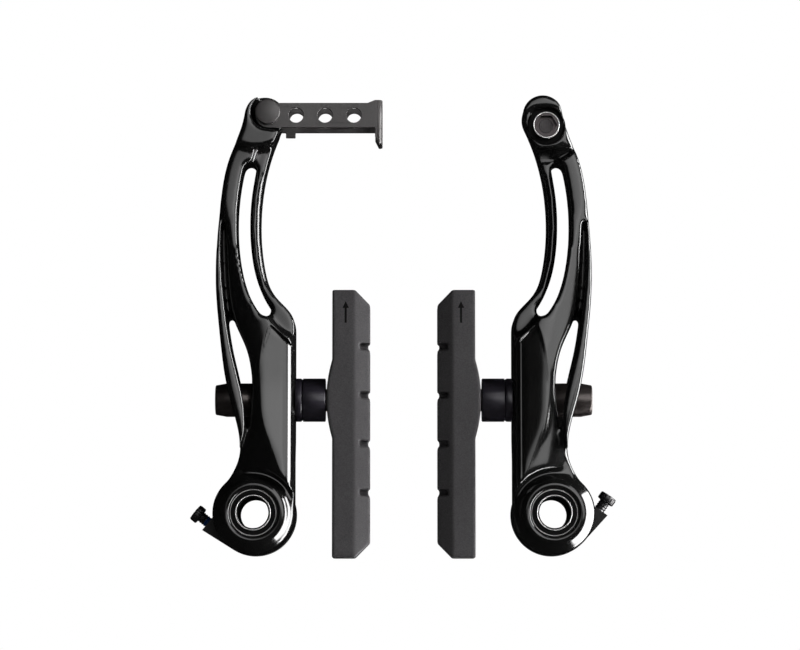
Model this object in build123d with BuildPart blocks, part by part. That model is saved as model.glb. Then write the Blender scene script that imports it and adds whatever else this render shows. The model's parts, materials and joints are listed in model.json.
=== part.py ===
from build123d import *
import os
from math import acos, cos, degrees, radians, sin, sqrt

# A linear-pull bicycle brake: two mirrored arms with their pads, springs, cable link and cable anchor.
# Millimetres. +X is right and +Z is up as seen from the front, and -Y points at the viewer.
# The origin is midway between the two boss axes, on the shoulder plane that the brake is bolted against.
# Every piece is drawn for the left side, and the right side is its mirror image.
# "In" is measured from the pivot axis towards the wheel, "depth" from the shoulder plane to the viewer.

# Pivot
PIVOT_SPACING = 80.0
BOSS_BORE = 4.1
SLEEVE_WALL = 0.7
SLEEVE_LENGTH = 20.6
RUNNING_CLEARANCE = 0.05
LINER_WALL = 1.25
LINER_RECESS = 0.9
FLANGE_RADIUS = 11.0
FLANGE_FRONT = 18.5
HUB_RELIEF = 0.6
HUB_RADIUS = 9.5
HUB_HEIGHT = 2.5
HUB_SKIRT = 0.8
HUB_TAPER = 0.9
HUB_LIP = 1.2

# Arm
ARM_REAR = 5.0
ARM_FRONT = 22.2
ARM_TOP_REAR = 9.0
SPAR_FRONT = 21.0
RAIL_FRONT = 19.2
INNER_FACE = 11.0
SHOULDER_HEIGHT = 49.6
PANEL_CHAMFER = 0.9
PANEL_INSET = 2.0
PANEL_FALL = 3.3
HOUSING_GAP = 0.3
REAR_STEP_FOOT = 14.0
REAR_STEP_TOP = 19.8
REAR_TAPER_FOOT = 49.6
REAR_TAPER_TOP = 74.0
FRONT_TAPER_FOOT = 50.0
FRONT_TAPER_TOP = 92.0
OUTER_EDGE = [(-6.7, 95.0), (-9.4, 79.0), (-10.2, 62.0), (-8.9, 46.0), (-6.5, 31.0), (-3.6, 18.8)]
OUTER_FOOT = (-7.6, 7.6)
OUTER_TOP = (-2.6, 107.1)
INNER_RISE = [(9.9, 3.6), (5.9, 8.0), (2.5, 16.9), (1.65, 26.4), (2.8, 40.0)]
INNER_TOP = (7.6, 104.0)
RAIL_TOP = (1.2, 100.0)
RAIL_FOOT = [(5.8, 49.8), (12.0, 46.4)]
PANEL_EDGE = [(4.6, 50.5), (1.9, 43.0), (1.45, 34.0), (2.9, 21.0), (7.0, 12.5), (8.4, 8.0)]
SLOT_LINE = [(-1.2, 92.0), (-2.5, 84.3), (-2.85, 76.5), (-2.2, 67.8), (-0.25, 60.0), (3.0, 54.0)]
SLOT_WIDTH = 3.3
POCKET_OUTER = [(-8.6, 78), (-8.5, 63), (-7.3, 52), (-5.9, 43.5), (-4.3, 37), (-2.4, 28), (-2.2, 21.5)]
POCKET_INNER = [(-7.9, 78), (-7.2, 63), (-5.2, 51), (-2.1, 44), (-0.6, 37), (-0.9, 28), (-1.6, 21.5)]
POCKET_DEPTH = 5.0
STRUT_FOOT = (-4.6, 13.0)
WINDOW_BOTTOM = 27.2
WINDOW_TOP = 52.6
WINDOW_CORNER = 0.6
ROLL_RADIUS = 22.0
ROLL_START = (4.5, 45.0)
ROLL_LEAN = -0.16

# Pad clamp
STUD_HEIGHT = 30.4
STUD_DEPTH = 13.2
STUD_RADIUS = 3.0
STUD_SLOT_WIDTH = 7.2
STUD_SHORT = 1.0
PAD_TRAVEL = 4.5
SEAT_FACE = 5.6
CLAMP_POCKET_WIDTH = 12.4
WASHER_RADIUS = 5.8
OUTER_WASHER_RADIUS = 5.4
POCKET_END_CLEARANCE = 0.5
DOME_RIM = 1.5
DOME_BORE = 3.65
SPHERE_CLEARANCE = 0.25
STUD_CLEARANCE = 0.1
INNER_CUP_FACE = 19.1
OUTER_CUP_WALL = 1.2
FLAT_WASHER_RADIUS = 4.9
FLAT_WASHER_THICKNESS = 0.9
NUT_RADIUS = 4.5
NUT_END = -10.4
NUT_TAPER = 0.55
NUT_TAPER_LENGTH = 3.0
SOCKET_ACROSS = 5.0
SOCKET_DEPTH = 3.5

# Pad
PAD_GAP = 0.25
PAD_BOSS_WIDTH = 21.0
PAD_BACK = 20.9
PAD_BEVEL_LINE = 26.9
PAD_FACE = 31.0
PAD_WIDTH = 11.6
PAD_FACE_WIDTH = 8.2
PAD_ABOVE = 29.2
PAD_BELOW = 42.3
PAD_END_CHAMFER = 4.0
GROOVE_WIDTH = 1.7
GROOVE_DEPTH = 2.9
GROOVE_WEB = 1.2
GROOVE_WEB_DROP = 0.5
GROOVE_COUNT = 4
GROOVE_PITCH = 13.0
GROOVE_FIRST = -24.9
PLATE_LENGTH = 54.0
PLATE_WIDTH = 7.0
PLATE_THICKNESS = 1.5
PLATE_COVER = 1.6

# Spring housing, return spring and tension screw
HOUSING_DEPTH = 8.0
HOUSING_RADIUS = 11.1
HOUSING_FLOOR = 1.2
HOUSING_HUB_WALL = 1.0
LUG_REACH = 14.8
LUG_TOP_ANGLE = 14.5
LEFT_HOUSING_TURN = 16.5
RIGHT_HOUSING_TURN = 1.0
SPRING_RADIUS = 7.3
SPRING_WIRE = 0.8
SPRING_TURNS = 2.25
SPRING_PITCH = 2.0
SPRING_CLEARANCE = 0.5
SPRING_LEG = 3.5
SPRING_HOLE_CLEARANCE = 0.15
SPRING_GAP = 0.3
TAIL_REACH = 9.6
TAIL_MARGIN = 17.0
TAIL_BACK = 8.0
TAIL_SWEEP = 44.0
ANCHOR_PIN_RADIUS = 1.25
ANCHOR_PIN_LENGTH = 3.0
ANCHOR_PIN_REACH = 9.0
SCREW_INSET = 2.6
SCREW_RADIUS = 1.5
SCREW_LENGTH = 8.3
SCREW_SHOWN = 2.8
SCREW_TRAVEL = 1.5
SCREW_HEAD_RADIUS = 2.1
SCREW_HEAD_HEIGHT = 2.2
SCREW_SLOT_WIDTH = 0.6
SCREW_SLOT_DEPTH = 0.8

# Cable link
LINK_PIN_IN = 3.5
LINK_PIN_HEIGHT = 107.3
LINK_ABOVE = 2.6
LINK_BELOW = 4.1
LINK_PLATE = 1.0
LINK_REACH = 30.8
LINK_LUG_REAR = 10.6
LINK_LUG_FRONT = 18.6
LINK_SIDE_GAP = 0.3
LINK_HOLE_RADIUS = 2.0
LINK_HOLE_COUNT = 3
LINK_HOLE_FIRST = 7.6
LINK_HOLE_PITCH = 7.75
LINK_END_DROP = 4.3
LINK_END_RISE = 0.8
LINK_FLARE = 4.0
LINK_TAB_START = 4.6
LINK_TAB_WIDTH = 2.6
LINK_TAB_DROP = 1.4
LINK_FOLD_ROUND = 1.4
KEYHOLE_RADIUS = 2.7
KEYHOLE_SLOT = 3.0
LINK_RECESS = 4.5
LINK_DOWN_ANGLE = 8.0
LINK_OPEN_ANGLE = 118.0
PIN_RADIUS = 2.0
PIN_HEAD_RADIUS = 3.0
PIN_HEAD_HEIGHT = 1.8
PIN_TAIL = 0.8
PIN_GAP = 0.1
PIN_HEAD_ROUND = 0.4

# Cable anchor
ANCHOR_IN = 1.9
ANCHOR_HEIGHT = 103.4
ANCHOR_RECESS = 9.4
ANCHOR_RECESS_DROP = 4.1
ANCHOR_RECESS_FOOT = 6.2
ANCHOR_FLOOR = 17.6
CLAMP_WASHER_RADIUS = 5.3
CLAMP_WASHER_THICKNESS = 2.2
ANCHOR_BOLT_RADIUS = 2.5
ANCHOR_HEAD_RADIUS = 3.55
ANCHOR_HEAD_HEIGHT = 3.6
ANCHOR_SOCKET_ACROSS = 5.0
ANCHOR_SOCKET_DEPTH = 2.4
CABLE_RADIUS = 0.8

# Upper boss
BOSS_FOOT = 97.6
BOSS_FRONT = 22.4
BOSS_FOOT_IN = 0.3
BOSS_FOOT_ROUND = 11.0

# Sizes that follow from the ones above
SLEEVE_RADIUS = BOSS_BORE + SLEEVE_WALL
LINER_BORE = SLEEVE_RADIUS + RUNNING_CLEARANCE
LINER_RADIUS = LINER_BORE + LINER_WALL
HUB_BORE = LINER_RADIUS + RUNNING_CLEARANCE
HUB_REAR = HOUSING_DEPTH + HOUSING_GAP
HUB_FRONT = FLANGE_FRONT + HUB_HEIGHT
SPHERE_CENTRE = (SEAT_FACE + INNER_FACE) / 2
WEB_HALF = (INNER_FACE - SEAT_FACE) / 2
SPHERE_RADIUS = sqrt((WEB_HALF + DOME_RIM) ** 2 + WASHER_RADIUS**2)
CUP_SPHERE = SPHERE_RADIUS + SPHERE_CLEARANCE
CUP_BORE = STUD_RADIUS + STUD_CLEARANCE
OUTER_CUP_FACE = SPHERE_CENTRE - sqrt(CUP_SPHERE**2 - CUP_BORE**2) - OUTER_CUP_WALL
NUT_FACE = OUTER_CUP_FACE - FLAT_WASHER_THICKNESS
PAD_BOSS_FACE = INNER_CUP_FACE + PAD_GAP
PLATE_BACK = PAD_BACK + PLATE_COVER
STUD_END = NUT_END + SOCKET_DEPTH + STUD_SHORT
LINK_REAR_PLATE = LINK_LUG_REAR - LINK_SIDE_GAP - LINK_PLATE
LINK_FRONT_PLATE = LINK_LUG_FRONT + LINK_SIDE_GAP
PIN_HEAD_BACK = LINK_FRONT_PLATE + LINK_PLATE + PIN_GAP
CLAMP_FRONT = ANCHOR_FLOOR + CLAMP_WASHER_THICKNESS

PIVOT_AXIS = Axis((-PIVOT_SPACING / 2, 0, 0), (0, -1, 0))
STUD_AXIS = Axis((-PIVOT_SPACING / 2, -STUD_DEPTH, STUD_HEIGHT), (1, 0, 0))


# Reference planes
def front(depth):
    """Plane that faces the viewer at a depth, with (in, up) from the left pivot."""
    return Plane(origin=(-PIVOT_SPACING / 2, -depth, 0), x_dir=(1, 0, 0), z_dir=(0, -1, 0))


def across(inward):
    """Plane square to the pad stud, with (rearward, up) from the stud axis."""
    origin = (-PIVOT_SPACING / 2 + inward, -STUD_DEPTH, STUD_HEIGHT)
    return Plane(origin=origin, x_dir=(0, 1, 0), z_dir=(1, 0, 0))


def along_stud():
    """Plane that holds the stud axis, with (in, radius) from the pivot's side."""
    origin = (-PIVOT_SPACING / 2, -STUD_DEPTH, STUD_HEIGHT)
    return Plane(origin=origin, x_dir=(1, 0, 0), z_dir=(0, -1, 0))


def along_pivot():
    """Plane that holds the pivot axis, with (radius, depth)."""
    return Plane(origin=(-PIVOT_SPACING / 2, 0, 0), x_dir=(1, 0, 0), z_dir=(0, 0, -1))


def polar(radius, angle):
    """Point at a radius and an angle in degrees."""
    return (radius * cos(radians(angle)), radius * sin(radians(angle)))


# Arm
def arm_outline():
    """The arm as seen from the front, with the round flange of its pivot."""
    edge = [(inward, SHOULDER_HEIGHT + rise) for inward, rise in INNER_RISE]
    with BuildSketch() as outline:
        with BuildLine():
            side = Line((INNER_FACE, 0), (INNER_FACE, SHOULDER_HEIGHT))
            inner = Spline(side @ 1, *edge, INNER_TOP)
            top = TangentArc(inner @ 1, OUTER_TOP, tangent=inner % 1)
            outer = Spline(top @ 1, *OUTER_EDGE, OUTER_FOOT, tangents=[top % 1, (-0.6, -0.8)])
            Polyline(outer @ 1, (0, 0), side @ 0)
        make_face()
        Circle(FLANGE_RADIUS)
    return outline.sketch


def side_cuts():
    """What is cut away, as seen from the side, behind the hub and behind and before the upper arm."""
    past_rear = -ARM_REAR + HOUSING_GAP
    with BuildPart() as cutter:
        with BuildSketch(Plane.YZ):
            Polygon(
                (past_rear, -2 * FLANGE_RADIUS),
                (-HUB_REAR, -2 * FLANGE_RADIUS),
                (-HUB_REAR, REAR_STEP_FOOT),
                (past_rear, REAR_STEP_TOP),
                align=None,
            )
            Polygon(
                (past_rear, REAR_TAPER_FOOT),
                (-ARM_TOP_REAR, REAR_TAPER_TOP),
                (-ARM_TOP_REAR, 2 * REAR_TAPER_TOP),
                (past_rear, 2 * REAR_TAPER_TOP),
                align=None,
            )
        extrude(amount=PIVOT_SPACING, both=True)
    return cutter.part


def front_cut():
    """What is cut from the front below the upper boss, which ends in a round foot."""
    past_front = 2 * BOSS_FRONT
    with BuildPart() as cutter:
        with BuildSketch(front(SPAR_FRONT)):
            with Locations((0, BOSS_FOOT + BOSS_FOOT_ROUND / 2)):
                Rectangle(4 * FLANGE_RADIUS, 2 * BOSS_FOOT, align=(Align.CENTER, Align.MAX))
            with Locations((BOSS_FOOT_IN, BOSS_FOOT + BOSS_FOOT_ROUND)):
                Circle(BOSS_FOOT_ROUND, mode=Mode.SUBTRACT)
        extrude(amount=past_front)
        with BuildSketch(Plane.YZ):
            with BuildLine():
                foot = (-ARM_FRONT, FRONT_TAPER_FOOT)
                taper = Spline(foot, (-SPAR_FRONT, FRONT_TAPER_TOP), tangents=[(0, 1), (0, 1)])
                Polyline(
                    taper @ 1,
                    (-SPAR_FRONT, 2 * BOSS_FOOT),
                    (-past_front, 2 * BOSS_FOOT),
                    (-past_front, -2 * BOSS_FOOT),
                    (-ARM_FRONT, -2 * BOSS_FOOT),
                    taper @ 0,
                )
            make_face()
        extrude(amount=PIVOT_SPACING, both=True, mode=Mode.INTERSECT)
    return cutter.part


def spar_roll():
    """What is cut from the front so that the spar rolls away outwards, beside the flat panel."""
    start_in, start_up = ROLL_START
    with BuildPart() as cutter:
        with BuildSketch(front(FLANGE_FRONT)):
            with Locations((0, BOSS_FOOT)):
                Rectangle(4 * FLANGE_RADIUS, BOSS_FOOT + 2 * FLANGE_RADIUS, align=(Align.CENTER, Align.MAX))
            with BuildLine():
                edge = Spline(*PANEL_EDGE)
                right = 2 * INNER_FACE
                Polyline(edge @ 1, (right, PANEL_EDGE[-1][1]), (right, PANEL_EDGE[0][1]), edge @ 0)
            make_face(mode=Mode.SUBTRACT)
            with BuildLine():
                strut = Spline(*POCKET_OUTER)
                left = -2 * FLANGE_RADIUS
                Polyline(strut @ 1, STRUT_FOOT, (left, STRUT_FOOT[1]), (left, POCKET_OUTER[0][1]), strut @ 0)
            make_face(mode=Mode.SUBTRACT)
        extrude(amount=ARM_FRONT)
        middle = (start_in - PIVOT_SPACING / 2, ROLL_RADIUS - ARM_FRONT, start_up)
        with BuildSketch(Plane(origin=middle, z_dir=(ROLL_LEAN, 0, 1))):
            Circle(ROLL_RADIUS)
        extrude(amount=2 * BOSS_FOOT, both=True, mode=Mode.SUBTRACT)
    return cutter.part


def slot_edges():
    """Points along both edges of the long slot, and the middles of its round ends."""
    line = Spline(*SLOT_LINE)
    reach = SLOT_WIDTH / 2
    outer = []
    inner = []
    for number in range(len(SLOT_LINE)):
        share = number / (len(SLOT_LINE) - 1)
        along = line % share
        side = Vector(-along.Y, along.X) * reach
        outer.append(line @ share - side)
        inner.append(line @ share + side)
    return outer, inner, line @ 0 - (line % 0) * reach, line @ 1 + (line % 1) * reach


def arm_body(seat, turn):
    """An arm with the seat of its upper fitting: reliefs, slot, window, pad clamp and pivot hub."""
    pocket_length = 2 * (OUTER_WASHER_RADIUS + PAD_TRAVEL + POCKET_END_CLEARANCE)
    slot_length = STUD_SLOT_WIDTH + 2 * PAD_TRAVEL
    slot_outer, slot_inner, slot_top, slot_foot = slot_edges()
    with BuildPart() as body:
        with BuildSketch(front(ARM_REAR)):
            add(arm_outline())
        extrude(amount=BOSS_FRONT - ARM_REAR)
        add(seat, mode=Mode.SUBTRACT)
        with BuildSketch(Plane(origin=(-PIVOT_SPACING / 2, 0, 0), z_dir=(0, 0, 1))):
            Polygon(
                (INNER_FACE - PANEL_INSET, -ARM_FRONT),
                (INNER_FACE - PANEL_INSET + PANEL_CHAMFER, PANEL_CHAMFER - ARM_FRONT),
                (INNER_FACE, PANEL_FALL - ARM_FRONT),
                (2 * INNER_FACE, PANEL_FALL - ARM_FRONT),
                (2 * INNER_FACE, -ARM_FRONT),
                align=None,
            )
        extrude(amount=SHOULDER_HEIGHT, mode=Mode.SUBTRACT)
        add(spar_roll(), mode=Mode.SUBTRACT)
        with BuildSketch(front(RAIL_FRONT)):
            with BuildLine():
                step = Spline(RAIL_TOP, *SLOT_LINE, *RAIL_FOOT)
                right = 2 * INNER_FACE
                Polyline(step @ 1, (right, RAIL_FOOT[-1][1]), (right, RAIL_TOP[1]), step @ 0)
            make_face()
            with Locations((BOSS_FOOT_IN, BOSS_FOOT + BOSS_FOOT_ROUND)):
                Circle(BOSS_FOOT_ROUND, mode=Mode.SUBTRACT)
        extrude(amount=ARM_FRONT, mode=Mode.SUBTRACT)
        with BuildSketch(front(ARM_REAR)):
            with BuildLine():
                Spline(*slot_outer)
                Spline(*slot_inner)
                ThreePointArc(slot_outer[0], slot_top, slot_inner[0])
                ThreePointArc(slot_outer[-1], slot_foot, slot_inner[-1])
            make_face()
        extrude(amount=ARM_FRONT, mode=Mode.SUBTRACT)
        add(side_cuts(), mode=Mode.SUBTRACT)
        add(front_cut(), mode=Mode.SUBTRACT)
        with BuildSketch(front(ARM_FRONT - POCKET_DEPTH)):
            with BuildLine():
                outer = Spline(*POCKET_OUTER)
                inner = Spline(*POCKET_INNER)
                Line(outer @ 0, inner @ 0)
                Line(outer @ 1, inner @ 1)
            make_face()
        extrude(amount=ARM_FRONT, mode=Mode.SUBTRACT)
        with BuildSketch(front(0)) as window:
            with BuildLine():
                outer = Spline(*POCKET_OUTER)
                inner = Spline(*POCKET_INNER)
                Line(outer @ 0, inner @ 0)
                Line(outer @ 1, inner @ 1)
            make_face()
            with Locations((0, (WINDOW_TOP + WINDOW_BOTTOM) / 2)):
                Rectangle(4 * FLANGE_RADIUS, WINDOW_TOP - WINDOW_BOTTOM, mode=Mode.INTERSECT)
            fillet(window.vertices(), WINDOW_CORNER)
        extrude(amount=2 * ARM_FRONT, mode=Mode.SUBTRACT)
        with BuildSketch(across(SEAT_FACE)):
            SlotOverall(pocket_length, CLAMP_POCKET_WIDTH, rotation=90)
        extrude(amount=-4 * FLANGE_RADIUS, mode=Mode.SUBTRACT)
        with BuildSketch(across(0)):
            SlotOverall(slot_length, STUD_SLOT_WIDTH, rotation=90)
        extrude(amount=2 * INNER_FACE, mode=Mode.SUBTRACT)
        with BuildSketch(front(FLANGE_FRONT)):
            Circle(FLANGE_RADIUS + HUB_RELIEF)
        extrude(amount=ARM_FRONT, mode=Mode.SUBTRACT)
        with BuildSketch(along_pivot()):
            Polygon(
                (0, FLANGE_FRONT - HUB_HEIGHT),
                (FLANGE_RADIUS, FLANGE_FRONT - HUB_HEIGHT),
                (FLANGE_RADIUS, FLANGE_FRONT),
                (HUB_RADIUS, FLANGE_FRONT + HUB_SKIRT),
                (HUB_RADIUS - HUB_TAPER, HUB_FRONT - HUB_LIP / 3),
                (HUB_BORE + HUB_LIP, HUB_FRONT),
                (HUB_BORE, HUB_FRONT - HUB_LIP / 4),
                (0, HUB_FRONT - HUB_LIP / 4),
                align=None,
            )
        revolve(axis=PIVOT_AXIS)
        with BuildSketch(front(0)):
            Circle(HUB_BORE)
        extrude(amount=2 * ARM_FRONT, mode=Mode.SUBTRACT)
        add(spring_leg_hole(turn), mode=Mode.SUBTRACT)
    return body.part


def link_seat():
    """What is cut from the left arm for the cable link: recesses before and behind a lug, and a bore."""
    foot = Vector(LINK_PIN_IN, LINK_PIN_HEIGHT) + Vector(*polar(LINK_RECESS, -90 - LINK_DOWN_ANGLE))
    reach = foot + Vector(*polar(LINK_REACH, -LINK_DOWN_ANGLE))
    ceiling = LINK_PIN_HEIGHT + LINK_REACH
    opening = Vector(LINK_PIN_IN, LINK_PIN_HEIGHT) + Vector(*polar(LINK_REACH, LINK_OPEN_ANGLE))
    with BuildPart() as seat:
        for depth, amount in [(LINK_LUG_FRONT, ARM_FRONT), (LINK_LUG_REAR, -ARM_FRONT)]:
            with BuildSketch(front(depth)):
                with Locations((LINK_PIN_IN, LINK_PIN_HEIGHT)):
                    Circle(LINK_RECESS)
                Polygon(
                    (foot.X, foot.Y),
                    (reach.X, reach.Y),
                    (reach.X, ceiling),
                    (opening.X, opening.Y),
                    (LINK_PIN_IN, LINK_PIN_HEIGHT),
                    align=None,
                )
            extrude(amount=amount)
        with BuildSketch(front(0)):
            with Locations((LINK_PIN_IN, LINK_PIN_HEIGHT)):
                Circle(PIN_RADIUS + RUNNING_CLEARANCE)
        extrude(amount=2 * ARM_FRONT)
    return seat.part


def anchor_seat():
    """What is cut from the right arm for the cable anchor: a round recess, a bore and the cable's groove."""
    with BuildPart() as seat:
        with BuildSketch(front(ANCHOR_FLOOR)):
            with Locations((ANCHOR_IN, ANCHOR_HEIGHT - ANCHOR_RECESS_DROP)):
                Circle(ANCHOR_RECESS)
            with Locations((ANCHOR_IN, ANCHOR_HEIGHT - ANCHOR_RECESS_FOOT)):
                Rectangle(
                    4 * ANCHOR_RECESS, 2 * ANCHOR_RECESS, align=(Align.CENTER, Align.MAX), mode=Mode.SUBTRACT
                )
        extrude(amount=ARM_FRONT)
        with BuildSketch(front(0)):
            with Locations((ANCHOR_IN, ANCHOR_HEIGHT)):
                Circle(ANCHOR_BOLT_RADIUS + RUNNING_CLEARANCE)
        extrude(amount=2 * ARM_FRONT)
        add(cable_passage())
    return seat.part


def cable_passage():
    """The round groove, half in the arm and half in the clamp washer, that the cable is clamped in."""
    height = ANCHOR_HEIGHT + ANCHOR_BOLT_RADIUS + 2 * CABLE_RADIUS
    origin = (-PIVOT_SPACING / 2 + ANCHOR_IN, -ANCHOR_FLOOR, height)
    with BuildPart() as passage:
        with BuildSketch(Plane(origin=origin, z_dir=(1, 0, 0))):
            Circle(CABLE_RADIUS)
        extrude(amount=2 * ANCHOR_RECESS, both=True)
    return passage.part


# Pivot bearing
def ring(inner, outer, rear, front_depth):
    """A plain round ring about the pivot axis."""
    with BuildPart() as part:
        with BuildSketch(front(rear)):
            Circle(outer)
            Circle(inner, mode=Mode.SUBTRACT)
        extrude(amount=front_depth - rear)
    return part.part


# Spring housing, return spring and tension screw
def turned(depth, angle):
    """Front plane at a depth, turned about the pivot."""
    across_dir = (cos(radians(angle)), 0, sin(radians(angle)))
    return Plane(origin=(-PIVOT_SPACING / 2, -depth, 0), x_dir=across_dir, z_dir=(0, -1, 0))


def lug_points():
    """Corner of the lug, where its top face meets the housing, and where its lower face touches it."""
    corner = Vector(-LUG_REACH, 0)
    shoulder = Vector(*polar(HOUSING_RADIUS, 180 - LUG_TOP_ANGLE))
    touch = Vector(*polar(HOUSING_RADIUS, 180 + degrees(acos(HOUSING_RADIUS / LUG_REACH))))
    return corner, shoulder, touch


def screw_plane(turn):
    """Plane on the lug's top face, at the tension screw, facing out along the screw."""
    corner, shoulder, _ = lug_points()
    edge = (shoulder - corner).normalized()
    base = turned(HOUSING_DEPTH / 2, turn)
    foot = corner + edge * SCREW_INSET
    origin = base.from_local_coords(foot)
    tip = base.from_local_coords(foot + Vector(-edge.Y, edge.X))
    return Plane(origin=origin, x_dir=(0, -1, 0), z_dir=tip - origin)


def tail_angle():
    """Angle of the spring's tail from the lug's corner, clear of the screw's tip as the arm closes."""
    corner, shoulder, _ = lug_points()
    edge = (shoulder - corner).normalized()
    inside = SCREW_LENGTH - SCREW_SHOWN + SCREW_TRAVEL
    tip = corner + edge * SCREW_INSET - Vector(-edge.Y, edge.X) * inside
    return degrees(acos(-tip.X / tip.length)) + TAIL_MARGIN


def spring_housing(turn):
    """Cup behind the arm with the spring's ring, the tail's chamber, the screw's lug and the anchor pin."""
    corner, shoulder, touch = lug_points()
    ring_inner = SLEEVE_RADIUS + RUNNING_CLEARANCE + HOUSING_HUB_WALL
    ring_outer = SPRING_RADIUS + SPRING_WIRE + SPRING_CLEARANCE
    tail_start = 180 + tail_angle() - TAIL_BACK
    with BuildPart() as housing:
        with BuildSketch(turned(0, turn)):
            Circle(HOUSING_RADIUS)
            Polygon((corner.X, corner.Y), (shoulder.X, shoulder.Y), (0, 0), (touch.X, touch.Y), align=None)
        extrude(amount=HOUSING_DEPTH)
        with BuildSketch(turned(HOUSING_FLOOR, turn)):
            Circle(ring_outer)
            Circle(ring_inner, mode=Mode.SUBTRACT)
            with BuildLine():
                path = CenterArc((0, 0), TAIL_REACH - SPRING_WIRE / 2, tail_start, TAIL_SWEEP)
            SlotArc(path, 2 * SPRING_WIRE + SPRING_CLEARANCE)
        extrude(amount=HOUSING_DEPTH, mode=Mode.SUBTRACT)
        with BuildSketch(turned(0, turn)):
            Circle(SLEEVE_RADIUS + RUNNING_CLEARANCE)
        extrude(amount=HOUSING_DEPTH, mode=Mode.SUBTRACT)
        with BuildSketch(screw_plane(turn)):
            Circle(SCREW_RADIUS + RUNNING_CLEARANCE)
        extrude(amount=-(SCREW_LENGTH - SCREW_SHOWN + SCREW_TRAVEL), mode=Mode.SUBTRACT)
        with BuildSketch(turned(-ANCHOR_PIN_LENGTH, turn)):
            with Locations((0, ANCHOR_PIN_REACH)):
                Circle(ANCHOR_PIN_RADIUS)
        extrude(amount=ANCHOR_PIN_LENGTH + HOUSING_FLOOR / 2)
    return housing.part


def spring_start():
    """Depth of the wire's centre where the coil starts."""
    return HOUSING_FLOOR + SPRING_GAP + SPRING_WIRE


def spring_plane(turn):
    """Plane in which the coil starts, with its tail along the plane's X direction."""
    return turned(spring_start(), turn + 180 + tail_angle())


def spring_leg_plane(turn):
    """Plane at the coil's end, with the leg's place along its X direction."""
    end = spring_start() + SPRING_PITCH * SPRING_TURNS
    return turned(end, turn + 180 + tail_angle() + 360 * SPRING_TURNS)


def spring_leg_hole(turn):
    """The hole in the arm's hub that takes the spring's leg."""
    with BuildPart() as hole:
        with BuildSketch(spring_leg_plane(turn)):
            with Locations((SPRING_RADIUS, 0)):
                Circle(SPRING_WIRE + SPRING_HOLE_CLEARANCE)
        extrude(amount=SPRING_LEG + SPRING_HOLE_CLEARANCE)
    return hole.part


def return_spring(turn):
    """Torsion coil with a radial tail at the screw and a leg that enters the arm's hub."""
    height = SPRING_PITCH * SPRING_TURNS
    with BuildPart() as spring:
        with BuildLine() as coil:
            Helix(SPRING_PITCH, height, SPRING_RADIUS)
        wire = coil.edges()[0]
        with BuildSketch(Plane(origin=wire @ 0, z_dir=wire % 0)):
            Circle(SPRING_WIRE)
        sweep(path=wire, is_frenet=True)
        with BuildSketch(Plane.XY.offset(height)):
            with Locations(polar(SPRING_RADIUS, 360 * SPRING_TURNS)):
                Circle(SPRING_WIRE)
        extrude(amount=SPRING_LEG)
        with BuildSketch(Plane(origin=(SPRING_RADIUS, 0, 0), z_dir=(1, 0, 0))):
            Circle(SPRING_WIRE)
        extrude(amount=TAIL_REACH - SPRING_RADIUS)
    return spring_plane(turn).location * spring.part


def tension_screw(turn):
    """Small round-headed screw in the housing's lug, with a cross slot."""
    place = screw_plane(turn)
    with BuildPart() as screw:
        with BuildSketch(place.offset(SCREW_SHOWN - SCREW_LENGTH)):
            Circle(SCREW_RADIUS)
        extrude(amount=SCREW_LENGTH)
        with BuildSketch(place.offset(SCREW_SHOWN)):
            Circle(SCREW_HEAD_RADIUS)
        extrude(amount=SCREW_HEAD_HEIGHT)
        chamfer(screw.faces().sort_by(Axis(place.origin, place.z_dir))[-1].edges(), SCREW_SLOT_WIDTH)
        with BuildSketch(place.offset(SCREW_SHOWN + SCREW_HEAD_HEIGHT)):
            Rectangle(2 * SCREW_HEAD_RADIUS, SCREW_SLOT_WIDTH)
            Rectangle(SCREW_SLOT_WIDTH, SCREW_HEAD_RADIUS)
        extrude(amount=-SCREW_SLOT_DEPTH, mode=Mode.SUBTRACT)
    return screw.part


# Pad clamp
def on_sphere(radius, out, way):
    """Point (in, out) on the ball of a radius about the clamp's centre, on one side of it."""
    return (SPHERE_CENTRE + way * sqrt(radius**2 - out**2), out)


def dome_washer(way, radius):
    """Flat against the arm's web, round on the other side; way is 1 towards the pad."""
    flat = SPHERE_CENTRE + way * WEB_HALF
    middle = (DOME_BORE + radius) / 2
    with BuildPart() as washer:
        with BuildSketch(along_stud()):
            with BuildLine():
                ThreePointArc(
                    on_sphere(SPHERE_RADIUS, DOME_BORE, way),
                    on_sphere(SPHERE_RADIUS, middle, way),
                    on_sphere(SPHERE_RADIUS, radius, way),
                )
                Polyline(
                    on_sphere(SPHERE_RADIUS, radius, way),
                    (flat, radius),
                    (flat, DOME_BORE),
                    on_sphere(SPHERE_RADIUS, DOME_BORE, way),
                )
            make_face()
        revolve(axis=STUD_AXIS)
    return washer.part


def cup_washer(way, radius, face):
    """Hollow towards the dome washer and flat at its face."""
    middle = (CUP_BORE + radius) / 2
    with BuildPart() as washer:
        with BuildSketch(along_stud()):
            with BuildLine():
                ThreePointArc(
                    on_sphere(CUP_SPHERE, CUP_BORE, way),
                    on_sphere(CUP_SPHERE, middle, way),
                    on_sphere(CUP_SPHERE, radius, way),
                )
                Polyline(
                    on_sphere(CUP_SPHERE, radius, way),
                    (face, radius),
                    (face, CUP_BORE),
                    on_sphere(CUP_SPHERE, CUP_BORE, way),
                )
            make_face()
        revolve(axis=STUD_AXIS)
    return washer.part


def flat_washer():
    """Thin washer under the nut."""
    with BuildPart() as washer:
        with BuildSketch(across(NUT_FACE)):
            Circle(FLAT_WASHER_RADIUS)
            Circle(CUP_BORE, mode=Mode.SUBTRACT)
        extrude(amount=FLAT_WASHER_THICKNESS)
    return washer.part


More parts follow.
